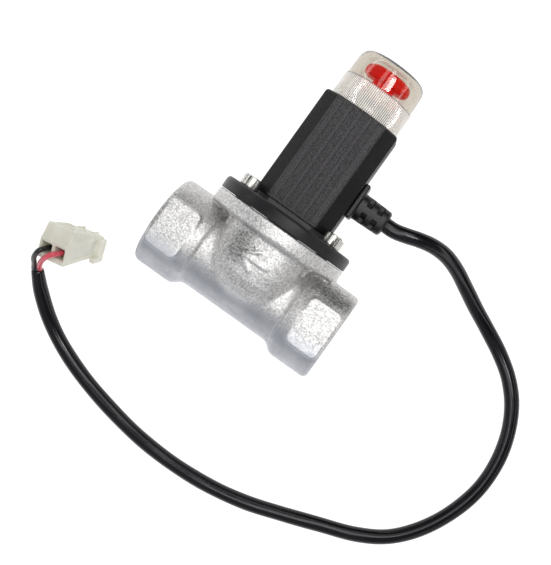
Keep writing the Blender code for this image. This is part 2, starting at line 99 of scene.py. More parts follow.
# the lead's centreline: x, y, and height above the surface
CABLE_ROUTE = [
    (30.1, 45.0, 27.0), (33.6, 45.1, 27.0), (38.0, 46.2, 26.9), (43.0, 47.8, 26.0),
    (48.5, 49.0, 23.9), (54.5, 49.0, 20.7), (61.0, 47.2, 16.6), (68.0, 43.9, 12.1),
    (75.5, 40.2, 8.0), (84.0, 36.3, 4.7), (93.5, 31.5, 3.1), (102.0, 25.6, 3.0),
    (109.0, 17.8, 3.0), (114.2, 7.6, 3.0), (117.0, -4.0, 3.0), (117.0, -16.5, 3.0),
    (113.6, -29.3, 3.0), (107.6, -41.0, 3.0), (99.3, -50.5, 3.0), (88.5, -57.0, 3.0),
    (75.0, -62.0, 3.0), (61.0, -67.0, 3.0), (47.0, -71.5, 3.0), (32.0, -74.4, 3.0),
    (16.0, -75.5, 3.0), (0.0, -74.8, 3.0), (-16.0, -72.2, 3.0), (-31.0, -68.4, 3.2),
    (-44.0, -63.3, 4.1), (-54.0, -57.2, 6.4), (-62.0, -50.0, 9.8), (-67.0, -43.5, 14.0),
]
WIRE_R = 1.0
BLACK_ROUTE = [
    (-68.0, -43.95, 15.0), (-68.2, -41.6, 19.0), (-68.4, -39.3, 23.9), (-67.9, -36.9, 27.0),
    (-67.3, -35.3, 27.9), (-66.7, -34.2, 26.6), (-66.3, -33.5, 24.5), (-65.8, -32.5, 21.9),
    (-65.6, -32.1, 20.9),
]
RED_ROUTE = [
    (-66.05, -42.65, 15.25), (-65.95, -40.7, 20.2), (-65.0, -38.1, 25.3), (-63.6, -35.6, 28.5),
    (-62.3, -33.9, 29.3), (-61.5, -33.0, 28.0), (-61.1, -32.3, 25.9), (-60.6, -31.3, 23.3),
    (-60.4, -30.9, 22.3),
]

# ---------------- materials

CAP_RIBS = 116
# painted shade: darker patches on the casting for shadows and dark reflections, each given as a
# place and how far it reaches along X, Y and Z, in mm: beside the arrow, on the outlet collar's
# top, and on the inlet end's front edge
PAINTED_SHADE_PATCHES = [
    ((-7.0, 9.5, 19.5), (5.5, 8.0, 8.0)),
    ((30.5, 13.2, 11.5), (9.5, 4.2, 6.5)),
    ((-38.0, 2.0, 15.0), (1.8, 12.0, 9.0)),
]
# the row frame's Y, in metres, over which one finish gives way to another
# on the casting, below this band the underside is painted darker and bluer as shade
SMOOTH_PAINTED_SHADE_TO_BLASTED_Y = (-0.0470, -0.0415)
RING_TO_DOME_Y = (0.0436, 0.0441)
# the same on the housing's front and back, as a height above or below the pipe's axis
CORNER_TO_CHANNEL = (0.0146, 0.0149)
CHANNEL_TO_LAND = (0.01505, 0.0154)


def new_material(name):
    """A new material, its node tree and its shader."""
    made = bpy.data.materials.new("vis_" + name)
    made.use_nodes = True
    return made, made.node_tree, made.node_tree.nodes["Principled BSDF"]


def node(tree, kind, **values):
    """Add a shader node with the named inputs or properties set."""
    made = tree.nodes.new(kind)
    for key, value in values.items():
        if key in made.inputs:
            made.inputs[key].default_value = value
        else:
            setattr(made, key, value)
    return made


def ramp(tree, factor, stops):
    """A colour ramp over a factor, with stops of (position, colour)."""
    made = tree.nodes.new("ShaderNodeValToRGB")
    band = made.color_ramp
    while len(band.elements) < len(stops):
        band.elements.new(0.5)
    for element, (position, colour) in zip(band.elements, stops):
        element.position = position
        element.color = (*colour, 1.0)
    tree.links.new(factor, made.inputs["Fac"])
    return made.outputs["Color"]


def where_on(tree):
    """The place on the piece, in the row frame's metres."""
    return tree.nodes.new("ShaderNodeTexCoord").outputs["Object"]


def noise(tree, scale, detail=3.0, rough=0.55, stretch=(1.0, 1.0, 1.0)):
    """Noise fixed to the piece, whose grain is about 1/scale metres."""
    mapping = tree.nodes.new("ShaderNodeMapping")
    mapping.inputs["Scale"].default_value = stretch
    tree.links.new(where_on(tree), mapping.inputs["Vector"])
    made = node(tree, "ShaderNodeTexNoise", Scale=scale, Detail=detail, Roughness=rough)
    tree.links.new(mapping.outputs["Vector"], made.inputs["Vector"])
    return made.outputs["Fac"]


def spread(tree, factor, low, high, start=0.3, end=0.7):
    """Map a factor from start..end to low..high."""
    made = node(tree, "ShaderNodeMapRange")
    made.inputs["From Min"].default_value = start
    made.inputs["From Max"].default_value = end
    made.inputs["To Min"].default_value = low
    made.inputs["To Max"].default_value = high
    tree.links.new(factor, made.inputs["Value"])
    return made.outputs["Result"]


def bumps(tree, layers):
    """Chain bump nodes, each from (height, strength, distance in metres)."""
    normal = None
    for height, strength, distance in layers:
        made = node(tree, "ShaderNodeBump", Strength=strength, Distance=distance)
        tree.links.new(height, made.inputs["Height"])
        if normal:
            tree.links.new(normal, made.inputs["Normal"])
        normal = made.outputs["Normal"]
    return normal


def finish(name, dark, light, rough, grain, metallic=0.0, bump=None, blotch=90.0,
           stretch=(1.0, 1.0, 1.0), **sockets):
    """A material whose colour and roughness vary, with a fine grain in its surface.

    dark and light are the ends of its colour, rough is (lowest, highest), grain is the fine
    noise's scale, and bump is (strength, distance in metres).
    """
    made, tree, shader = new_material(name)
    fine = noise(tree, grain, 4.0, 0.6, stretch)
    broad = noise(tree, blotch, 2.0, 0.5)
    mixed = node(tree, "ShaderNodeMix", data_type="FLOAT")
    mixed.inputs[0].default_value = 0.35
    tree.links.new(broad, mixed.inputs[2])
    tree.links.new(fine, mixed.inputs[3])
    colour = ramp(tree, mixed.outputs[0], [(0.34, dark), (0.66, light)])
    tree.links.new(colour, shader.inputs["Base Color"])
    tree.links.new(spread(tree, broad, rough[0], rough[1]), shader.inputs["Roughness"])
    shader.inputs["Metallic"].default_value = metallic
    if bump:
        tree.links.new(bumps(tree, [(fine, bump[0], bump[1])]), shader.inputs["Normal"])
    for key, value in sockets.items():
        shader.inputs[key.replace("_", " ")].default_value = value
    return made


def level_of(tree, axis):
    """One coordinate of the place on the piece, in metres."""
    split = tree.nodes.new("ShaderNodeSeparateXYZ")
    tree.links.new(where_on(tree), split.inputs["Vector"])
    return split.outputs[axis]


def above_axis(tree):
    """Height above the pipe's axis, in metres."""
    return sums(tree, "SUBTRACT", level_of(tree, "Z"), AXIS_HEIGHT * MM)


def sums(tree, operation, first, second=None):
    """A maths node; either side is a socket or a number."""
    made = node(tree, "ShaderNodeMath", operation=operation)
    for socket, value in zip(made.inputs, (first, second)):
        if isinstance(value, (int, float)):
            socket.default_value = value
        elif value is not None:
            tree.links.new(value, socket)
    return made.outputs[0]


def blended(tree, factor, first, second):
    """A mix of two colours by a factor."""
    made = node(tree, "ShaderNodeMix", data_type="RGBA")
    for socket, value in ((0, factor), (6, first), (7, second)):
        tree.links.new(value, made.inputs[socket])
    return made.outputs[2]


# painted shade: the mask of one darker patch on the casting
def painted_shade_patch(tree, at, size, ragged):
    """1 at a place on the piece, fading out at about size (mm) from it, with a ragged edge."""
    made = node(tree, "ShaderNodeVectorMath", operation="DISTANCE")
    scale = node(tree, "ShaderNodeVectorMath", operation="DIVIDE")
    scale.inputs[1].default_value = [value * MM for value in size]
    tree.links.new(where_on(tree), scale.inputs[0])
    tree.links.new(scale.outputs["Vector"], made.inputs[0])
    made.inputs[1].default_value = [p / (v * MM) for p, v in zip(place(at), size)]
    edge = sums(tree, "ADD", made.outputs["Value"], spread(tree, ragged, -0.35, 0.35))
    return spread(tree, edge, 1.0, 0.0, 0.45, 1.15)


def cast_aluminium():
    """Bright blasted casting, sparkling above; smoother below, painted darker and bluer as shade.
    """
    made, tree, shader = new_material("cast_aluminium")
    grain = noise(tree, 1500.0, 3.0, 0.65)
    pits = noise(tree, 620.0, 2.0, 0.5)
    broad = noise(tree, 110.0, 2.0, 0.5)
    # 1 on the blasted upper part, 0 along the smoother underside, painted darker as shade
    upper = spread(tree, level_of(tree, "Y"), 0.0, 1.0, *SMOOTH_PAINTED_SHADE_TO_BLASTED_Y)
    light = ramp(tree, grain, [(0.38, (0.46, 0.455, 0.445)), (0.60, (0.80, 0.79, 0.775))])
    # the darker colour of the painted shade patches
    dark = ramp(tree, grain, [(0.38, (0.16, 0.16, 0.155)), (0.60, (0.50, 0.495, 0.48))])
    # painted shade and reflection: the underside's colour, darker and bluer than the grain above
    smooth = ramp(tree, broad, [(0.35, (0.46, 0.47, 0.50)), (0.65, (0.54, 0.55, 0.58))])
    # painted shade: the darker patches, where the dark colour takes the place of the light one
    marks = 0.0
    for at, size in PAINTED_SHADE_PATCHES:
        marks = sums(tree, "MAXIMUM", marks, painted_shade_patch(tree, at, size, pits))
    shaded = blended(tree, marks, light, dark)
    tree.links.new(blended(tree, upper, smooth, shaded), shader.inputs["Base Color"])
    shader.inputs["Metallic"].default_value = 1.0
    tree.links.new(spread(tree, pits, 0.40, 0.58), shader.inputs["Roughness"])
    height = sums(tree, "MULTIPLY", grain, spread(tree, upper, 0.25, 1.0, 0.0, 1.0))
    normal = bumps(tree, [(broad, 0.25, 0.0008), (pits, 0.30, 0.00025), (height, 0.85, 0.00022)])
    tree.links.new(normal, shader.inputs["Normal"])
    return made


def black_anodised():
    """Black anodising, speckled and painted greyer as sheen on the housing's channelled faces."""
    made = finish(
        "black_anodised", (0.0020, 0.0020, 0.0024), (0.008, 0.0078, 0.0088), (0.42, 0.54), 2200.0,
        metallic=0.1, bump=(0.8, 0.0002), Specular_IOR_Level=0.20)
    tree = made.node_tree
    shader = tree.nodes["Principled BSDF"]
    dark = shader.inputs["Base Color"].links[0].from_socket
    specks = noise(tree, 2400.0, 3.0, 0.75)
    # painted sheen: the front and back lands, greyer than the corners for the light they catch
    painted_sheen = ramp(tree, specks, [(0.38, (0.016, 0.015, 0.016)), (0.62, (0.088, 0.083, 0.086))])
    # painted shade: the channel floors, a little darker than the lands
    floor = ramp(tree, specks, [(0.38, (0.014, 0.013, 0.014)), (0.62, (0.078, 0.074, 0.077))])
    height = sums(tree, "ABSOLUTE", above_axis(tree))
    land = spread(tree, height, 0.0, 1.0, *CHANNEL_TO_LAND)
    face = spread(tree, height, 0.0, 1.0, *CORNER_TO_CHANNEL)
    tree.links.new(blended(tree, face, dark, blended(tree, land, floor, painted_sheen)),
                   shader.inputs["Base Color"])
    return made


def clear_plastic():
    """Clear moulded plastic, faintly smoky through its thickness, with a whiter ribbed ring."""
    made, tree, shader = new_material("clear_plastic")
    marks = noise(tree, 160.0, 2.0, 0.5, (1.0, 0.3, 1.0))
    fine = noise(tree, 900.0, 2.0, 0.5)
    clear = ramp(tree, marks, [(0.3, (0.92, 0.91, 0.89)), (0.7, (0.96, 0.955, 0.94))])
    white = ramp(tree, fine, [(0.3, (0.86, 0.83, 0.78)), (0.7, (0.95, 0.92, 0.87))])
    # the ring is nearer the pipe than the dome, and its crests run along the tower
    ring = spread(tree, level_of(tree, "Y"), 1.0, 0.0, *RING_TO_DOME_Y)
    angle = sums(tree, "ARCTAN2", above_axis(tree), level_of(tree, "X"))
    wave = sums(tree, "COSINE", sums(tree, "MULTIPLY", angle, float(CAP_RIBS)))
    crest = sums(tree, "MULTIPLY", ring, spread(tree, wave, 0.15, 1.0, -0.35, 0.45))
    tree.links.new(blended(tree, crest, clear, white), shader.inputs["Base Color"])
    tree.links.new(sums(tree, "SUBTRACT", 1.0, sums(tree, "MULTIPLY", crest, 0.85)),
                   shader.inputs["Transmission Weight"])
    # painted light: the crests also glow a little, for the light that the whole cap gathers
    shader.inputs["Emission Color"].default_value = (1.0, 0.96, 0.90, 1.0)
    tree.links.new(sums(tree, "MULTIPLY", crest, 0.13), shader.inputs["Emission Strength"])
    rough = sums(tree, "ADD", spread(tree, fine, 0.010, 0.030), sums(tree, "MULTIPLY", ring, 0.08))
    tree.links.new(rough, shader.inputs["Roughness"])
    tree.links.new(bumps(tree, [(marks, 0.015, 0.0002)]), shader.inputs["Normal"])
    shader.inputs["IOR"].default_value = 1.49
    smoke = node(tree, "ShaderNodeVolumeAbsorption", Density=340.0)
    smoke.inputs["Color"].default_value = (0.60, 0.54, 0.44, 1.0)
    tree.links.new(smoke.outputs["Volume"], tree.nodes["Material Output"].inputs["Volume"])
    return made


def build_materials():
    """Every finish, named by the record's material slots."""
    finishes = [
        cast_aluminium(),
        finish("black_paint", (0.007, 0.007, 0.0078), (0.018, 0.0175, 0.0190), (0.36, 0.46), 1500.0,
               bump=(0.4, 0.00012), Specular_IOR_Level=0.28),
        black_anodised(),
        finish("bright_steel", (0.42, 0.41, 0.38), (0.62, 0.61, 0.57), (0.18, 0.30), 900.0,
               metallic=1.0, bump=(0.12, 0.00005)),
        finish("dull_steel", (0.36, 0.36, 0.37), (0.50, 0.50, 0.51), (0.32, 0.46), 700.0,
               metallic=1.0, bump=(0.15, 0.00005), stretch=(1.0, 8.0, 1.0)),
        finish("brass", (0.60, 0.42, 0.16), (0.78, 0.58, 0.26), (0.22, 0.36), 700.0, metallic=1.0,
               bump=(0.12, 0.00005)),
        finish("copper_wire", (0.45, 0.16, 0.07), (0.66, 0.28, 0.13), (0.25, 0.4), 300.0,
               metallic=0.9, bump=(0.8, 0.0002), stretch=(0.1, 12.0, 0.1)),
        finish("bobbin_plastic", (0.60, 0.57, 0.47), (0.70, 0.68, 0.58), (0.42, 0.55), 800.0,
               bump=(0.1, 0.00005)),
        finish("magnet", (0.035, 0.034, 0.035), (0.075, 0.073, 0.075), (0.45, 0.6), 900.0,
               metallic=0.4, bump=(0.25, 0.00008)),
        finish("seal_rubber", (0.010, 0.010, 0.010), (0.022, 0.022, 0.022), (0.55, 0.7), 1200.0,
               bump=(0.2, 0.00006)),
        clear_plastic(),
        # painted light: the knob glows red, for the light that reaches it through the cap
        finish("red_plastic", (0.84, 0.004, 0.0), (0.95, 0.010, 0.001), (0.22, 0.32), 400.0,
               bump=(0.05, 0.00008), Specular_IOR_Level=0.25, Emission_Color=(1.0, 0.006, 0.0, 1.0),
               Emission_Strength=0.34),
        finish("relief_rubber", (0.004, 0.004, 0.0046), (0.009, 0.0088, 0.0096), (0.36, 0.48),
               1400.0, bump=(0.2, 0.00006), Specular_IOR_Level=0.36),
        finish("cable_sheath", (0.0030, 0.0030, 0.0042), (0.006, 0.006, 0.0082), (0.13, 0.24),
               300.0, bump=(0.10, 0.0002), Specular_IOR_Level=0.32),
        finish("black_insulation", (0.008, 0.008, 0.008), (0.016, 0.016, 0.016), (0.3, 0.42), 900.0,
               bump=(0.1, 0.00005)),
        finish("red_insulation", (0.58, 0.055, 0.085), (0.74, 0.10, 0.14), (0.30, 0.42), 900.0,
               bump=(0.1, 0.00005), Subsurface_Weight=0.1, Subsurface_Scale=0.0006),
        finish("milky_nylon", (0.63, 0.62, 0.52), (0.76, 0.75, 0.66), (0.30, 0.45), 260.0,
               bump=(0.25, 0.00015), Subsurface_Weight=0.5, Subsurface_Scale=0.002,
               Subsurface_Radius=(1.0, 0.95, 0.85)),
    ]
    return {made.name.removeprefix("vis_"): made for made in finishes}


FINISH = build_materials()

# ---------------- mesh helpers


def change_mesh(mesh, change):
    """Apply a change, a function of a bmesh, to a mesh."""
    bm = bmesh.new()
    bm.from_mesh(mesh)
    change(bm)
    bm.to_mesh(mesh)
    bm.free()


def face_outward(bm):
    """Turn every face of a closed bmesh outward."""
    bmesh.ops.recalc_face_normals(bm, faces=bm.faces)


def new_mesh(name, points, faces):
    """A mesh from points in millimetres, in place."""
    mesh = bpy.data.meshes.new(name)
    mesh.from_pydata([tuple(place(p)) for p in points], [], faces)
    return mesh


def make_piece(name, points, faces, slot, body, nodes, smooth):
    """An object from points in millimetres, in place, with its finish, slot and body."""
    return dress(name, new_mesh(name, points, faces), slot, body, nodes, smooth)


def dress(name, mesh, slot, body, nodes, smooth=32.0):
    """Give a mesh its object, finish, slot and body; edges sharper than smooth stay sharp."""
    change_mesh(mesh, face_outward)
    mesh.shade_smooth()
    if smooth:
        mesh.set_sharp_from_angle(angle=math.radians(smooth))
    mesh.materials.clear()
    mesh.materials.append(FINISH[slot])
    obj = add_object(name, mesh)
    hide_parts(*nodes)
    if body:
        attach(obj, body)
    return obj


def about_y(r, along, angle):
    """A point at radius r around the tower's axis."""
    return Vector((r * math.cos(angle), along, r * math.sin(angle)))


def skin(rings, closed=False, caps=True):
    """Points and faces of a run of equal rings; a ring of one point is a pole."""
    points = []
    starts = []
    for ring in rings:
        starts.append(len(points))
        points += ring
    faces = []
    pairs = list(zip(range(len(rings)), range(1, len(rings))))
    if closed:
        pairs.append((len(rings) - 1, 0))
    for low, high in pairs:
        a, b = len(rings[low]), len(rings[high])
        for i in range(max(a, b)):
            j = (i + 1) % max(a, b)
            if a == 1:
                faces.append((starts[low], starts[high] + i, starts[high] + j))
            elif b == 1:
                faces.append((starts[low] + i, starts[low] + j, starts[high]))
            else:
                faces.append((starts[low] + i, starts[low] + j, starts[high] + j,
                              starts[high] + i))
    if caps and not closed:
        for k in (0, len(rings) - 1):
            if len(rings[k]) > 1:
                faces.append(tuple(starts[k] + i for i in range(len(rings[k]))))
    return points, faces


def bend(here, back, ahead, cut, steps):
    """Points of a rounded corner, from cut before it to cut after it."""
    start = here + back.normalized() * cut
    end = here + ahead.normalized() * cut
    out = []
    for k in range(steps + 1):
        t = k / steps
        q = start * (1 - t) ** 2 + here * 2 * t * (1 - t) + end * t * t
        out.append((q.x, q.y))
    return out


def rounded(profile, corners, steps=4):
    """Round some inner corners of an open profile, given as {index: radius}."""
    out = []
    for i, p in enumerate(profile):
        if i not in corners:
            out.append(p)
            continue
        here = Vector(p)
        back = Vector(profile[i - 1]) - here
        ahead = Vector(profile[i + 1]) - here
        cut = min(corners[i], back.length * 0.49, ahead.length * 0.49)
        out += bend(here, back, ahead, cut, steps)
    return out


def rings_about(profile, steps, shape=None, shift=(0.0, 0.0, 0.0)):
    """Rings of a profile of (radius, Y) turned about the tower's axis, moved by shift.

    shape(r, y, angle), when given, returns the radius at that place.
    """
    shift = Vector(shift)
    rings = []
    for r, y in profile:
        angles = [2 * math.pi * i / steps for i in range(steps if r else 1)]
        rings.append([
            about_y(shape(r, y, angle) if shape and r else r, y, angle) + shift
            for angle in angles
        ])
    return rings


def turned(profile, steps, closed=False, shape=None, shift=(0.0, 0.0, 0.0)):
    """Points and faces of a profile of (radius, Y) turned about the tower's axis."""
    return skin(rings_about(profile, steps, shape, shift), closed)


def cut_away(name, target_data, tools):
    """Cut closed shapes, each (points, faces), out of another, and return the new mesh."""
    def as_object(label, data):
        mesh = new_mesh(label, *data)
        change_mesh(mesh, face_outward)
        return add_object(label, mesh)

    target = as_object(name + "_raw", target_data)
    cutters = [as_object(f"{name}_cut_{k}", data) for k, data in enumerate(tools)]
    for other in cutters:
        step = target.modifiers.new(other.name, "BOOLEAN")
        step.operation = "DIFFERENCE"
        step.solver = "EXACT"
        step.object = other
    bpy.context.view_layer.update()
    graph = bpy.context.evaluated_depsgraph_get()
    result = bpy.data.meshes.new_from_object(target.evaluated_get(graph))
    for obj in [target, *cutters]:
        bpy.data.objects.remove(obj, do_unlink=True)
    result.name = name
    return result


def smooth_points(route, spacing):
    """Points along a smooth curve through the route, about spacing apart."""
    points = [Vector(p) for p in route]
    ends = [2 * points[0] - points[1]] + points + [2 * points[-1] - points[-2]]
    fine = []
    for a, b, c, d in zip(ends, ends[1:], ends[2:], ends[3:]):
        for k in range(24):
            t = k / 24
            curve = 2 * b + (c - a) * t + (2 * a - 5 * b + 4 * c - d) * t * t
            curve += (3 * b - a - 3 * c + d) * t * t * t
            fine.append(curve / 2)
    fine.append(points[-1])
    total = sum((q - p).length for p, q in zip(fine, fine[1:]))
    gaps = max(2, round(total / spacing))
    picked = [fine[0]]
    run = 0.0
    for p, q in zip(fine, fine[1:]):
        run += (q - p).length
        if run >= len(picked) * total / gaps and len(picked) < gaps:
            picked.append(q)
    picked.append(fine[-1])
    return picked


def tube_rings(points, radii, steps, up=Vector((0.0, 0.0, 1.0)), oval=0.0):
    """Rings around a run of points, each turned the least from the one before."""
    rings = []
    side = None
    for i, p in enumerate(points):
        ahead = points[min(i + 1, len(points) - 1)]
        behind = points[max(i - 1, 0)]
        along = (ahead - behind).normalized()
        if side is None:
            side = along.cross(up).normalized()
        side = (side - along * side.dot(along)).normalized()
        other = along.cross(side)
        r = radii[i]
        rings.append([
            p + side * (r * (1 + oval) * math.cos(2 * math.pi * k / steps))
            + other * (r * (1 - oval) * math.sin(2 * math.pi * k / steps))
            for k in range(steps)
        ])
    return rings


def lifted(route):
    """A route whose third number is a height above the surface, in the valve's frame."""
    return [(x, y, z - AXIS_HEIGHT) for x, y, z in route]


# ---------------- the lead


def round_end(points, radius):
    """Radii that draw in slightly at the first and last points."""
    return [radius * 0.86] + [radius] * (len(points) - 2) + [radius * 0.86]


def build_cable():
    """The sheathed cable, faintly oval, with slow swellings of a real moulded sheath."""
    points = smooth_points([CABLE_ROOT, *lifted(CABLE_ROUTE)], 1.3)
    points = [points[0], points[0].lerp(points[1], 0.2)] + points[1:-1] + [
        points[-1].lerp(points[-2], 0.2), points[-1]]
    radii = round_end(points, CABLE_R)
    for i in range(2, len(points) - 2):
        radii[i] = CABLE_R * (1 + 0.010 * math.sin(i * 0.37) + 0.006 * math.sin(i * 0.113 + 1))
        # the sheath narrows over its last eight rings, to where the wires leave it
        radii[i] *= 1 - 0.20 * max(0.0, 1 - (len(points) - 2 - i) / 8) ** 1.5
    radii[-2:] = [CABLE_R * 0.79, CABLE_R * 0.70]
    data = skin(tube_rings(points, radii, 28, oval=0.012))
    cable = make_piece("cable_sheath", *data, "cable_sheath", "valve", ["cable"], 45.0)
    return cable, [place(p) for p in points]


def build_wire(name, route, slot, replaced):
    """One insulated wire from the sheath's end into the connector."""
    points = smooth_points(lifted(route), 0.5)
    rings = tube_rings(points, round_end(points, WIRE_R), 20)
    return make_piece(name, *skin(rings), slot, "valve", [replaced], 45.0)


# ---------------- connector

PLUG_AT = Vector((-63.95, -33.4, 25.74 - AXIS_HEIGHT))
PLUG_ACROSS = Vector((0.9476, 0.2001, 0.2492))
PLUG_ALONG = Vector((0.1664, 0.3568, -0.9192))
PLUG_SIZE = (11.9, 8.05, 25.0)
PIN_PITCH = 5.6
PIN_HOLE = 4.2
# how far the latch stands off along the plug, from its rear face, and where it ends
LATCH_ALONG = [0.4, 2.9, 17.0, 22.6]
LATCH_RISE = [0.0, 5.3, 2.3, 0.0]
LATCH_RIDGES = (6.6, 10.0, 13.4)


def plug_pose():
    """The connector's place: across, down and along its length from its rear face."""
    down = PLUG_ALONG.cross(PLUG_ACROSS).normalized()
    across = PLUG_ACROSS.normalized()
    along = across.cross(down).normalized()
    turn = Matrix((across, down, along)).transposed().to_4x4()
    return Matrix.Translation(PLUG_AT) @ turn


# the power of the squarish ovals; 2 would be an ellipse
SQUARISH = 2.6


def sd_box(x, y, z, low, high, corner=0.0):
    """Signed distance to a block between two corners, with rounded edges."""
    out = []
    for value, a, b in zip((x, y, z), low, high):
        out.append(np.abs(value - (a + b) / 2) - (b - a) / 2 + corner)
    outside = np.sqrt(sum(most(q, 0) ** 2 for q in out))
    inside = np.minimum(most(out[0], out[1], out[2]), 0)
    return outside + inside - corner


def join(a, b, soft=0.0):
    """Union of two fields with a fillet of about the given size."""
    if not soft:
        return np.minimum(a, b)
    h = np.clip(0.5 + 0.5 * (b - a) / soft, 0, 1)
    return b * (1 - h) + a * h - soft * h * (1 - h)


def minus(a, b, soft=0.0):
    """Take b out of a."""
    return -join(-a, b, soft)


def most(*fields):
    """The largest of several fields at each place: what their shapes have in common."""
    return reduce(np.maximum, fields)


def squarish(a, b):
    """Distance from the middle in ovals with rather square corners."""
    return (np.abs(a) ** SQUARISH + np.abs(b) ** SQUARISH) ** (1 / SQUARISH)


def surface(field, low, step):
    """Points and quads of a field's zero surface, one point in each cell that it crosses."""
    inside = field < 0
    nx, ny, nz = field.shape
    corner = [(i, j, k) for i in (0, 1) for j in (0, 1) for k in (0, 1)]
    count = sum(
        inside[i:nx - 1 + i, j:ny - 1 + j, k:nz - 1 + k].astype(np.int8) for i, j, k in corner
    )
    active = (count > 0) & (count < 8)
    cells = np.argwhere(active)
    number = -np.ones(active.shape, np.int64)
    number[active] = np.arange(len(cells))
    total = np.zeros((len(cells), 3))
    hits = np.zeros(len(cells))
    x, y, z = cells.T
    for a in corner:
        for axis in range(3):
            if a[axis]:
                continue
            b = list(a)
            b[axis] = 1
            va = field[x + a[0], y + a[1], z + a[2]]
            vb = field[x + b[0], y + b[1], z + b[2]]
            cross = (va < 0) != (vb < 0)
            t = np.where(cross, va / np.where(cross, va - vb, 1.0), 0.0)
            spot = np.array(a, float) + np.zeros((len(cells), 3))
            spot[:, axis] += t
            total += spot * cross[:, None]
            hits += cross
    points = np.array(low) + (cells + total / hits[:, None]) * step
    quads = []
    for axis in range(3):
        span = [slice(1, -1)] * 3
        span[axis] = slice(0, -1)
        ahead = list(span)
        ahead[axis] = slice(1, None)
        first = inside[tuple(span)]
        second = inside[tuple(ahead)]
        spots = np.argwhere(first != second)
        keep = first[tuple(spots.T)]
        offset = np.array([1, 1, 1])
        offset[axis] = 0
        spots = spots + offset
        u, v = [(1, 2), (2, 0), (0, 1)][axis]
        du = np.eye(3, dtype=int)[u]
        dv = np.eye(3, dtype=int)[v]
        ring = [spots - du - dv, spots - dv, spots, spots - du]
        quad = np.stack([number[tuple(r.T)] for r in ring], 1)
        quad[~keep] = quad[~keep][:, ::-1]
        quads.append(quad)
    return points, np.concatenate(quads)


def grid(low, high, step):
    """Coordinates of a regular grid over a block."""
    axes = [np.arange(a, b + step, step) for a, b in zip(low, high)]
    return np.meshgrid(*axes, indexing="ij")


def field_piece(name, field, low, step, slot, body, nodes, pose=None, pull=0.4):
    """Make a piece from a field, relaxed a little so that the grid doesn't show."""
    points, quads = surface(field, low, step)
    mesh = bpy.data.meshes.new(name)
    if pose is not None:
        turn = np.array(pose)
        points = points @ turn[:3, :3].T + turn[:3, 3]
    points = (points + np.array(ORIGIN)) * MM
    mesh.from_pydata(points.tolist(), [], quads.tolist())
    change_mesh(mesh, lambda bm: bmesh.ops.smooth_vert(
        bm, verts=bm.verts, factor=pull, use_axis_x=True, use_axis_y=True, use_axis_z=True))
    return dress(name, mesh, slot, body, nodes, 0.0)


def build_connector():
    """The nylon plug: two cavities, a ramped latch, railed sides and a hooked arm at its nose."""
    width, height, length = PLUG_SIZE
    w, h = width / 2, height / 2
    low = (-w - 1.2, -h - 6.4, -0.8)
    high = (w + 3.2, h + 2.6, length + 1.4)
    step = 0.2
    x, y, z = grid(low, high, step)
    solid = sd_box(x, y, z, (-w, -h, 0), (w, h, length), 0.35)
    # each side steps in along its middle, between two rails
    for side in (-1, 1):
        slot_low = (min(side * (w - 0.45), side * (w + 1)), -h + 1.7, 4.5)
        slot_high = (max(side * (w - 0.45), side * (w + 1)), h - 1.7, length - 5.0)
        solid = minus(solid, sd_box(x, y, z, slot_low, slot_high, 0.2), 0.3)
    # the latch: a wedge that stands off the top, falls away to the nose, and is stepped along
    # its back where its two side walls stand above its floor
    off = -h - y
    rise = np.interp(z, LATCH_ALONG, LATCH_RISE)
    step_down = 0.55 * (np.abs(x) < w - 1.5) * ((z > 4.2) & (z < 15.5))
    latch = most((off - rise + step_down) * 0.92, np.abs(x) - w + 0.15)
    latch = most(latch, -off - 0.5, LATCH_ALONG[0] - z, z - LATCH_ALONG[-1])
    solid = join(solid, latch, 0.4)
    for k, at in enumerate(LATCH_RIDGES):
        wave = at + 0.55 * np.sin(x * 0.9 + 1.7 * k)
        ridge = np.sqrt(((z - wave) / 0.8) ** 2 + ((off - rise + 0.35) / 0.6) ** 2) - 1.0
        ridge = most(ridge, np.abs(x) - w + 1.3)
        solid = join(solid, ridge * 0.55, 0.5)
    for at in (-3.6, 2.6):
        nib = sd_box(x, y, z, (at - 0.8, -h - 0.55, length - 2.4),
                     (at + 0.8, -h + 0.5, length + 0.45), 0.25)
        solid = join(solid, nib, 0.3)
    arm = sd_box(x, y, z, (w - 0.5, -h + 0.6, length - 4.5), (w + 1.8, h + 1.6, length - 0.4),
                 0.3)
    toe = sd_box(x, y, z, (w - 0.5, h - 0.4, length - 6.6), (w + 1.8, h + 1.6, length - 3.0),
                 0.3)
    solid = join(solid, join(arm, toe, 0.4), 0.4)
    hole = PIN_HOLE / 2
    for side in (-1, 1):
        middle = side * PIN_PITCH / 2
        cavity = sd_box(x, y, z, (middle - hole, -hole, -3), (middle + hole, hole, length + 3),
                        0.5)
        mouth = sd_box(x, y, z, (middle - hole - 0.25, -hole - 0.3, -3),
                       (middle + hole + 0.25, hole + 0.3, 0.7), 0.7)
        solid = minus(solid, join(cavity, mouth), 0.25)
    return field_piece("connector_shell", solid, low, step, "milky_nylon", "valve",
                       ["connector_housing"], plug_pose())


# ---------------- strain relief


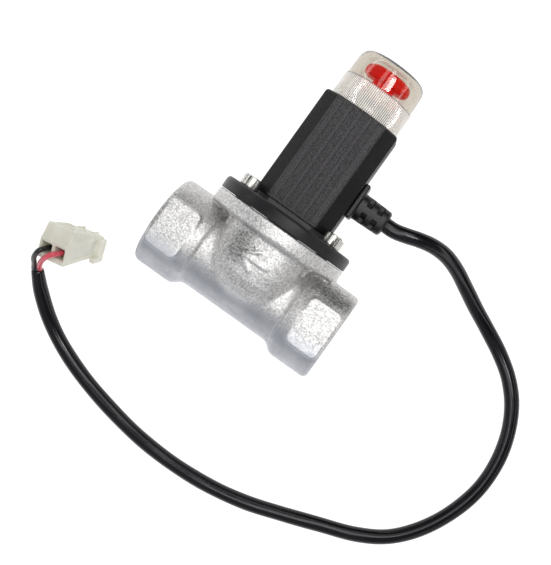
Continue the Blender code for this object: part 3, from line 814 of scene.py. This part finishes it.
def build_strain_relief():
    """The moulded relief: a foot on the housing, a round body, and eight flex pockets."""
    # along X: its back against the housing, the foot's front and the body's end
    back, start, end = 15.6, 18.0, 29.7
    low = (15.2, 37.5, -8.1)
    high = (30.7, 54.2, 8.1)
    step = 0.14
    x, y, z = grid(low, high, step)
    up = y - CABLE_ROOT[1]
    across = squarish(up, z)
    outer = across - (5.25 - 0.03 * (x - start))
    body = most(outer, x - end, back - x)
    tip = outer + 0.9 * most(x - end + 1.0, 0) ** 2
    body = np.where(x > end - 1.0, most(body, tip), body)
    foot = sd_box(x, up, z, (back, -6.1, -6.9), (start - 0.3, 8.0, 6.9), 0.7)
    solid = join(body, foot, 0.5)
    for at in (start + 3.25, start + 7.65):
        ring = most(np.abs(x - at) - 0.95, 3.25 - across)
        rib = np.minimum(np.abs(up), np.abs(z)) - 1.35
        solid = minus(solid, most(ring, -rib), 0.15)
    mouth = most(np.sqrt(up ** 2 + z ** 2) - CABLE_R - 0.05, 28.2 - x)
    solid = minus(most(solid, back - x), mouth)
    field_piece("strain_relief_moulding", solid, low, step, "relief_rubber", "valve",
                ["strain_relief"])


# ---------------- valve body

FLANGE_R = 27.0
FLANGE_TOP = 21.9
PIPE_HALF = 38.0
COLLAR_R = 17.5
NECK_R = 14.6
THREAD_R = 12.05
THREAD_PITCH = 1.814
# half the bowl's width and half its depth, at each level
BOWL = [
    (5.0, 7.0, -9.4), (9.4, 11.6, -8.0), (12.6, 15.0, -5.8), (15.2, 17.6, -3.0),
    (16.9, 19.2, 0.0), (18.0, 20.3, 5.0), (18.4, 20.7, 10.0), (18.5, 20.8, 15.5),
]
# how far the raised arrow stands off, half its stroke, and its middle line
ARROW_HEIGHT = 0.45
ARROW_STROKE = 0.55
ARROW_Y = 7.2
PORT_DEPTH = 15.0
CHAMBER_R = 16.0
CHAMBER_Y = 5.0
SEAT_R = 10.8
SEAT_Y = 7.0
WELL_R = 8.8
# the screws' X and Z, in the order of the CAD's names
SCREWS = [(17.4, 13.2), (-17.4, 13.2), (-17.4, -13.2), (17.4, -13.2)]
CLEARANCE_R = 2.2


def along_x(r, x, profile):
    """Distance from a shape turned about the pipe, given as (x, radius) pairs."""
    xs = [p[0] for p in profile]
    rs = [p[1] for p in profile]
    return r - np.interp(x, xs, rs)


def build_valve_body():
    """The casting with its threaded ports, machined faces, pads, bowl, webs and arrow."""
    step = 0.5
    low = (-39.2, -18.7, -28.2)
    high = (39.2, 23.2, 28.2)
    x, y, z = grid(low, high, step)
    ax = np.abs(x)
    pipe_r = np.sqrt(y ** 2 + z ** 2)
    tower_r = np.sqrt(x ** 2 + z ** 2)

    # pipe: neck, sloping shoulders and collars
    outer = along_x(pipe_r, ax, [
        (0.0, NECK_R), (17.0, NECK_R), (18.9, 14.9), (21.5, 17.0), (22.9, COLLAR_R),
        (36.2, COLLAR_R), (37.4, 17.0), (38.0, 16.2), (39.2, 14.9),
    ]) * 0.84
    pipe = most(outer, ax - PIPE_HALF)

    # bowl under the flange, squarish from above
    levels = [b[2] for b in BOWL]
    side = np.interp(y, levels, [b[0] for b in BOWL])
    depth = np.interp(y, levels, [b[1] for b in BOWL])
    outside = (squarish(ax / side, z / depth) - 1) * np.minimum(side, depth)
    slope = np.interp(y, [-9.4, -8.0, -5.0, 0.0, 6.0], [0.30, 0.45, 0.62, 0.85, 1.0])
    bowl = most(outside * slope, levels[0] - y, y - 18.0)

    # flange with a small lip below its rim
    under = np.interp(tower_r, [18.4, 19.5, 21.5, 24.8, 25.4, 27.0],
                      [13.4, 14.9, 15.9, 16.2, 16.2, 16.7])
    bevel = (tower_r - FLANGE_R + np.abs(y - 19.1) - 2.45) * 0.7071
    flange = most(tower_r - FLANGE_R, y - FLANGE_TOP, (under - y) * 0.85, bevel)

    # web between the flange and each collar, above the pipe's axis only, and the narrow upright
    # rib beside it
    web = most(np.abs(z) - 2.2, y - 17.0, ax - 23.0 + 0.35 * (y - 11.0), -y)
    rib = most(np.abs(ax - 20.3) - 0.75, y - 17.0, -12.0 - y, pipe_r - 16.6)
    solid = join(pipe, bowl, 0.7)
    solid = join(solid, web, 1.6)
    solid = join(solid, rib, 1.2)
    solid = join(solid, flange, 1.0)

    # wrench pads, front and back
    for face in (-1, 1):
        flat = face * z
        pad = most(
            sd_box(ax, y, flat, (23.7, -9.6, 8.0), (37.1, 9.5, COLLAR_R - 0.05), 0.0),
            (np.sqrt(most(np.abs(ax - 30.4) - 4.4, 0) ** 2
                     + most(np.abs(y) - 7.2, 0) ** 2) - 2.3),
        )
        solid = join(solid, pad, 0.5)

    # arrow towards -X, raised on the bowl's front and back
    aside = np.abs(y - ARROW_Y)
    head = most(np.abs(aside - 0.62 * (x + 5.8)) * 0.85 - ARROW_STROKE, np.abs(x + 2.4) - 3.4)
    tail = most(aside - ARROW_STROKE, np.abs(x - 1.2) - 4.6)
    swell = depth * (1 - np.minimum(ax / 18.4, 0.999) ** SQUARISH) ** (1 / SQUARISH)
    shell = np.abs(z) - (swell + ARROW_HEIGHT)
    arrow = most(np.minimum(head, tail), shell, 12.0 - np.abs(z))
    solid = join(solid, arrow, 0.5)

    # threaded ports
    angle = np.arctan2(z, y)
    for end in (-1, 1):
        depth_in = PIPE_HALF - end * x
        turn = (x / THREAD_PITCH - end * angle / (2 * math.pi)) % 1.0
        tooth = np.abs(turn - 0.5) * 2
        wall = THREAD_R - 0.05 + 1.15 * (tooth - 0.5) * np.clip((15.5 - depth_in) / 2, 0, 1)
        wall = most(wall, THREAD_R + 0.9 - 0.9 * depth_in + 0.6)
        wall = np.minimum(wall, THREAD_R + 2.6)
        bore = most((pipe_r - wall) * 0.7, depth_in - PORT_DEPTH)
        relief = most(pipe_r - 10.0 - np.clip(16.6 - depth_in, 0, 1.6), depth_in - 18.6)
        solid = minus(solid, most(bore, -5.0 - depth_in))
        solid = minus(solid, most(relief, -5.0 - depth_in))

    # chamber around the seat, the well inside the seat, the ways and the seal's groove
    seat = most(tower_r - SEAT_R, y - SEAT_Y)
    chamber = most(tower_r - CHAMBER_R, CHAMBER_Y - y, -seat)
    well = most(tower_r - WELL_R + np.clip(-6.0 - y, 0, 2), -8.0 - y)
    inlet = most(np.sqrt((y + 3.6) ** 2 + z ** 2) - 7.0, x, -21.0 - x)
    outlet = most(np.sqrt((y - 7.4) ** 2 + z ** 2) - 5.0, 12.0 - x, x - 21.0)
    groove = most(np.abs(tower_r - 17.9) - 0.9, 20.4 - y)
    for hollow in (chamber, well, inlet, outlet, groove):
        solid = minus(solid, hollow)
    for hole_x, hole_z in SCREWS:
        hole = np.sqrt((x - hole_x) ** 2 + (z - hole_z) ** 2) - CLEARANCE_R
        solid = minus(solid, most(hole, 12.0 - y))
    solid = most(solid, y - FLANGE_TOP)
    field_piece("cast_body", solid, low, step, "cast_aluminium", "valve", ["valve_body"],
                pull=0.5)


# ---------------- cover and screws


def build_cover_plate():
    """The painted steel cover with its bevelled rim and four clearance holes."""
    profile = rounded([
        (7.4, 22.1), (26.75, 22.1), (27.0, 22.35), (27.0, 25.9), (26.6, 26.7), (25.9, 27.0),
        (7.4, 27.0),
    ], {2: 0.3, 3: 0.4, 4: 0.4, 5: 0.4}, 3)
    plate = turned(profile, 240, closed=True)
    hole = [(0, 20.0), (CLEARANCE_R, 20.0), (CLEARANCE_R, 29.0), (0, 29.0)]
    holes = [turned(hole, 32, shift=(x, 0.0, z)) for x, z in sorted(SCREWS)]
    mesh = cut_away("painted_cover", plate, holes)
    dress("painted_cover", mesh, "black_paint", "valve", ["cover_plate"])


def build_screws():
    """Socket-head cap screws with knurled heads and threaded shanks."""
    steps = 96
    turns = 12
    knurls = 32
    seat = 27.05
    top = seat + 4.2
    profile = [(0, 16.6), (1.5, 16.6), (1.8, 17.0)]
    profile += [(1.78 + 0.17 * (k % 2), 17.2 + k * 0.35) for k in range(2 * turns)]
    profile += [(2.0, 26.2), (2.0, seat), (3.25, seat), (3.45, seat + 0.2)]
    profile += [(3.5, seat + 0.35), (3.5, seat + 2.0), (3.5, top - 0.6)]
    profile += [(3.42, top - 0.35), (3.2, top - 0.12), (2.9, top), (2.0, top)]
    # the socket, by its width across flats, and the point at its bottom
    socket = [(3.35, top - 0.12), (3.0, top - 0.35), (3.0, top - 2.3), (0, top - 2.9)]

    def knurled(r, y, angle):
        return r - 0.05 * (0.5 - 0.5 * math.cos(angle * knurls)) if r >= 3.49 else r

    def six_sided(across, y, angle):
        return across / 2 / math.cos((angle % (math.pi / 3)) - math.pi / 6)

    for number, (x, z) in enumerate(SCREWS, 1):
        rings = rings_about(profile, steps, knurled, (x, 0.0, z))
        rings += rings_about(socket, steps, six_sided, (x, 0.0, z))
        make_piece(f"socket_screw_{number}", *skin(rings, caps=False), "bright_steel", "valve",
                   [f"cover_screw_{number}"], 28.0)


# ---------------- solenoid housing

HOUSING_HALF = 15.5
HOUSING_CHAMFER = 5.9
HOUSING_Y = (28.8, 72.5)
RIB_PITCH = 4.05
CHANNEL_WIDTH = 2.5
CHANNEL_DEPTH = 0.5
# radii of the housing's upright corners and of its top edge
CORNER_R = 0.55
TOP_R = 1.3


def housing_outline(inset, channels):
    """The housing's octagon at one level, drawn in by inset, with its channels."""
    half = HOUSING_HALF - inset
    flat = HOUSING_HALF - HOUSING_CHAMFER - inset * math.tan(math.pi / 8)
    side = []
    depth = max(CHANNEL_DEPTH - inset, 0.02) if channels else 0.02
    edge = 0.12
    for middle in (-1.5, -0.5, 0.5, 1.5):
        left = middle * RIB_PITCH - CHANNEL_WIDTH / 2
        right = middle * RIB_PITCH + CHANNEL_WIDTH / 2
        side += [(left - edge, half), (left, half - min(edge, depth / 2)),
                 (left + 0.05, half - depth), (right - 0.05, half - depth),
                 (right, half - min(edge, depth / 2)), (right + edge, half)]
    corners = [Vector(p) for p in (
        (-flat, half), (flat, half), (half, flat), (half, -flat),
        (flat, -half), (-flat, -half), (-half, -flat), (-half, flat),
    )]
    outline = []
    for i, here in enumerate(corners):
        outline += bend(here, corners[i - 1] - here, corners[(i + 1) % 8] - here, CORNER_R, 4)
        if i == 0:
            outline += side
        if i == 4:
            outline += [(-a, -b) for a, b in side]
    return outline


def build_housing():
    """The extruded housing: cut corners, shallow channels, rounded top edge, stepped bore."""
    low, high = HOUSING_Y
    levels = [(low, 0.25), (low + 0.25, 0.0), (low + 1.2, 0.0)]
    levels += [(low + 1.4, 0.0), (high - 1.9, 0.0), (high - 1.75, 0.0), (high - TOP_R, 0.0)]
    for k in range(1, 7):
        angle = math.pi / 2 * k / 6
        levels.append((high - TOP_R + TOP_R * math.sin(angle), TOP_R - TOP_R * math.cos(angle)))
    rings = []
    for y, inset in levels:
        # the channels start a little above the bottom
        channels = low + 1.3 < y
        rings.append([Vector((a, y, b)) for a, b in housing_outline(inset, channels)])
    bore = turned([
        (0, 20.0), (13.6, 20.0), (13.6, 69.0), (9.0, 69.0), (9.0, 75.0), (0, 75.0),
    ], 96)
    mesh = cut_away("extruded_housing", skin(rings), [bore])
    dress("extruded_housing", mesh, "black_anodised", "valve", ["solenoid_housing"], 24.0)


# ---------------- cap, nose, knob, spring


def build_nose():
    """The black threaded nose that the clear cap screws on to."""
    pitch = 1.5
    tooth = 0.16

    def shape(r, y, angle):
        if r < 11.2 or not 73.3 < y < 77.7:
            return r
        turn = (y / pitch - angle / (2 * math.pi)) % 1.0
        return r - tooth * abs(turn - 0.5) * 2

    profile = [(4.8, 69.2), (8.8, 69.2), (8.8, 72.65), (11.4, 72.65), (11.8, 72.9)]
    profile += [(11.9, 73.3 + 0.15 * k) for k in range(1, 30)]
    profile += [(11.5, 78.0), (11.3, 78.1), (5.0, 78.1), (4.8, 77.9), (4.8, 77.0), (6.0, 77.0),
                (6.0, 75.6), (4.8, 75.6)]
    data = turned(profile, 128, closed=True, shape=shape)
    make_piece("threaded_nose", *data, "black_anodised", "valve", ["cap_nose"], 30.0)


def build_cap():
    """The clear cap: ribbed ring, domed top, inner step and a thread inside the ring."""
    rib_depth = 0.30

    def shape(r, y, angle):
        if r > 14.2 and 72.9 < y < 82.1:
            return r - rib_depth * (0.5 - 0.5 * math.cos(angle * CAP_RIBS))
        return r

    outer = [(0, 94.3), (3.0, 94.28), (6.0, 94.2), (8.4, 94.02), (10.2, 93.72), (11.5, 93.25)]
    outer += [(12.35, 92.65), (12.95, 91.9), (13.35, 91.0), (13.62, 89.9), (13.74, 88.7)]
    outer += [(13.8, 87.2), (13.8, 83.4), (13.8, 82.75), (13.86, 82.6), (14.05, 82.52)]
    outer += [(14.2, 82.35), (14.25, 82.05), (14.25, 79.0), (14.25, 76.0), (14.25, 72.95)]
    outer += [(14.15, 72.75), (14.0, 72.7)]
    inner = [(12.5, 72.7), (12.3, 72.9), (12.3, 73.5), (13.1, 73.5), (13.1, 75.0), (12.3, 75.0)]
    inner += [(12.3, 75.6), (12.3, 81.8)]
    inner += [(12.3, 82.1), (12.1, 82.6), (12.1, 83.2), (12.1, 86.0), (12.08, 88.2)]
    inner += [(11.98, 89.4), (11.7, 90.5), (11.2, 91.3), (10.4, 91.95), (9.2, 92.3)]
    inner += [(7.6, 92.48), (5.0, 92.56), (2.5, 92.6), (0, 92.6)]
    data = turned(outer + inner, CAP_RIBS * 4, shape=shape)
    make_piece("clear_dome", *data, "clear_plastic", "cap", ["clear_cap"], 30.0)


def build_knob():
    """The red reset knob: a rounded mushroom head on a straight hub."""
    profile = rounded([
        (0, 74.0), (4.5, 74.0), (4.5, 85.3), (7.4, 85.4), (8.5, 85.7), (9.15, 86.4),
        (9.4, 87.4), (9.3, 88.5), (8.8, 89.5), (7.9, 90.3), (6.5, 90.8), (4.6, 91.05),
        (2.2, 91.2), (0, 91.2),
    ], {1: 0.3, 2: 0.5, 3: 0.5, 4: 0.5, 5: 0.6, 6: 0.6, 7: 0.6, 8: 0.6, 9: 0.7, 10: 0.8,
        11: 1.0, 12: 1.0}, 4)
    data = turned(profile, 96)
    make_piece("reset_button", *data, "red_plastic", "reset_plunger", ["reset_knob"], 50.0)


def build_spring():
    """The return spring at one length; the real one stretches as the disc drops to its seat."""
    low, high = 18.5, 21.5
    coil_r, wire_r = 10.75, 0.35
    turns = 3.75
    per_turn = 40
    count = round(turns * per_turn)
    points = [
        about_y(coil_r, low + (high - low) * i / count, 2 * math.pi * i / per_turn)
        for i in range(count + 1)
    ]
    rings = tube_rings(points, round_end(points, wire_r), 12, up=Vector((0.0, 1.0, 0.0)))
    spring = make_piece("coiled_spring", *skin(rings), "bright_steel", None,
                        ["return_spring"], 60.0)
    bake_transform(spring)


# ---------------- build everything

cable, cable_path = build_cable()
black_wire = build_wire("black_wire", BLACK_ROUTE, "black_insulation", "wire_black")
red_wire = build_wire("red_wire", RED_ROUTE, "red_insulation", "wire_red")
connector = build_connector()
build_strain_relief()
build_valve_body()
build_cover_plate()
build_screws()
build_housing()
build_nose()
build_cap()
build_knob()
build_spring()

# the CAD nodes that show as they are, by the finish that they get
KEPT = {
    "magnet": ["yoke_plate", "magnet_ring"],
    "seal_rubber": ["flange_seal", "seal_disc", "rod_seal", "cap_seal"],
    "bobbin_plastic": ["coil_bobbin", "coil_spacer"],
    "copper_wire": ["coil_winding"],
    "brass": ["guide_tube", "disc_holder", "contact_black", "contact_red"],
    "dull_steel": ["fixed_core", "plunger"],
    "bright_steel": ["reset_rod", "valve_stem"],
}
for slot_name, names in KEPT.items():
    for name in names:
        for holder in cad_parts[name].material_slots:
            holder.material = FINISH[slot_name]

# ---------------- floor and light


def build_floor():
    """A wide floor that looks white mostly by its own glow, so that shadows stay soft."""
    made, tree, shader = new_material("floor")
    colour = ramp(tree, noise(tree, 3.0), [(0.3, (0.31, 0.31, 0.31)), (0.7, (0.34, 0.34, 0.34))])
    tree.links.new(colour, shader.inputs["Base Color"])
    shader.inputs["Roughness"].default_value = 0.9
    shader.inputs["Specular IOR Level"].default_value = 0.1
    shader.inputs["Emission Color"].default_value = (1.0, 1.0, 1.0, 1.0)
    shader.inputs["Emission Strength"].default_value = 0.93
    mesh = bpy.data.meshes.new("floor")
    reach = 6.0
    mesh.from_pydata([(-reach, -reach, 0), (reach, -reach, 0), (reach, reach, 0),
                      (-reach, reach, 0)], [], [(0, 1, 2, 3)])
    mesh.materials.append(made)
    floor = add_object("floor", mesh)
    # just under the valve and the lead, so that nothing shares its plane
    floor.location.z = -0.0002


def soft_box(name, at, toward, size, power):
    """A rectangular lamp at a point, facing another, both in the valve's frame in mm."""
    data = bpy.data.lights.new(name, "AREA")
    data.shape = "RECTANGLE"
    data.size, data.size_y = size[0] * MM, size[1] * MM
    data.energy = power
    lamp = add_object(name, data)
    lamp.location = place(at)
    direction = (place(toward) - place(at)).normalized()
    lamp.rotation_euler = direction.to_track_quat("-Z", "Y").to_euler()


def build_lights():
    """Three boxes over the camera, a low strip at each side, and a pale surround."""
    soft_box("strip_right", (65.0, 176.0, 600.0), (65.0, 176.0, 0.0), (118.0, 900.0), 1.5)
    soft_box("strip_left", (-138.0, 176.0, 600.0), (-138.0, 176.0, 0.0), (130.0, 900.0), 0.65)
    soft_box("glint", (205.0, 176.0, 600.0), (60.0, 100.0, 0.0), (200.0, 140.0), 1.2)
    soft_box("side_right", (690.0, 60.0, 330.0), (0.0, 0.0, 0.0), (1500.0, 100.0), 1.2)
    soft_box("side_left", (-690.0, 140.0, 300.0), (0.0, 0.0, 0.0), (1500.0, 100.0), 1.6)
    world = bpy.data.worlds.new("surround")
    world.use_nodes = True
    tree = world.node_tree
    backdrop = tree.nodes["Background"]
    where = tree.nodes.new("ShaderNodeTexCoord")
    # brighter towards the pipe's underside than beyond the cap
    lean = node(tree, "ShaderNodeVectorMath", operation="DOT_PRODUCT")
    lean.inputs[1].default_value = (-0.25, -0.85, 0.18)
    tree.links.new(where.outputs["Generated"], lean.inputs[0])
    sky = ramp(tree, spread(tree, lean.outputs["Value"], 0.0, 1.0, -0.9, 0.9), [
        (0.15, (0.05, 0.05, 0.055)), (0.62, (0.14, 0.143, 0.152)), (0.88, (0.46, 0.47, 0.50)),
    ])
    # seen directly, beyond the floor's edge, it is as pale as the floor
    path = tree.nodes.new("ShaderNodeLightPath")
    pale = ramp(tree, lean.outputs["Value"], [(0.0, (0.84, 0.84, 0.85)), (1.0, (0.92, 0.92, 0.93))])
    tree.links.new(blended(tree, path.outputs["Is Camera Ray"], sky, pale),
                   backdrop.inputs["Color"])
    bpy.context.scene.world = world
    view = bpy.context.scene.view_settings
    view.view_transform = "Standard"
    view.look = "None"
    view.exposure = 0.0
    view.gamma = 1.0


build_floor()
build_lights()
